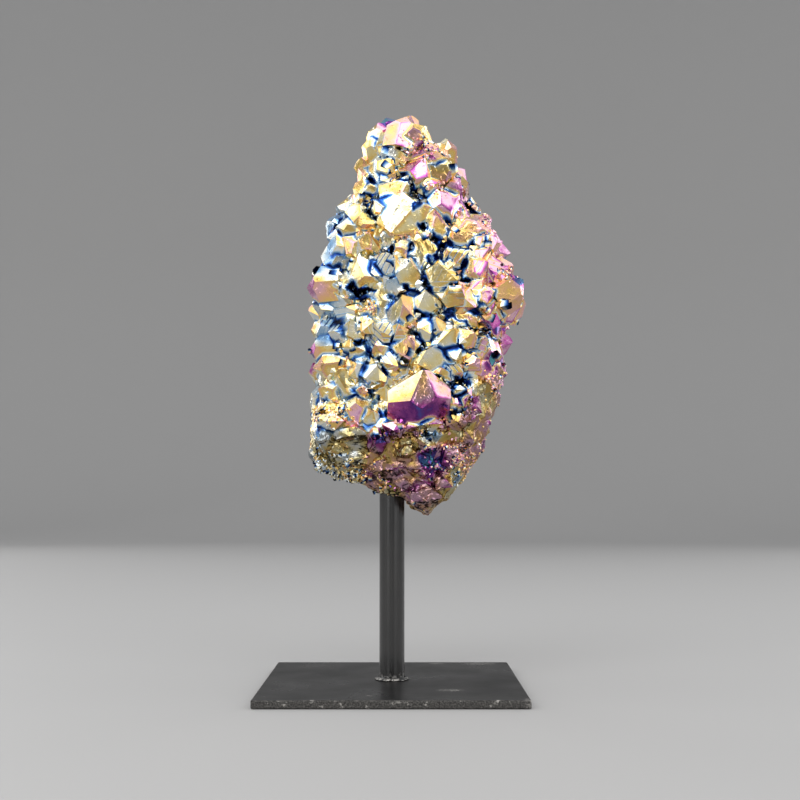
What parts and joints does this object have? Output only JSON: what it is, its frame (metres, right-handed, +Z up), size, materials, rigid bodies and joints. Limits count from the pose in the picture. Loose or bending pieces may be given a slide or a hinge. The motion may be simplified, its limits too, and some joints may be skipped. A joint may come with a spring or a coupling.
{
  "type": "aura amethyst geode on stand",
  "caption": "Standing druse of metal-coated quartz points on its rind, drilled underneath and set on a round steel rod welded to a square steel plate",
  "frame": {"origin": "Middle of the plate's underside, which is the surface the object stands on; the rod stands on the Z axis", "axes": "+Z up along the rod, -Y towards the viewer of the crystal side, +X to that viewer's right"},
  "size_m": [0.1042, 0.1, 0.2301],
  "materials": {
    "black_paint": "semi-gloss black, worn at the edges",
    "weld_metal": "bare weld metal",
    "aura_quartz": "glossy metallic vapour coating with interference colours"
  },
  "bodies": {
    "root": {"base_plate": "black_paint", "post": "black_paint", "weld_bead": "weld_metal", "geode": "aura_quartz"}
  },
  "joints": []
}
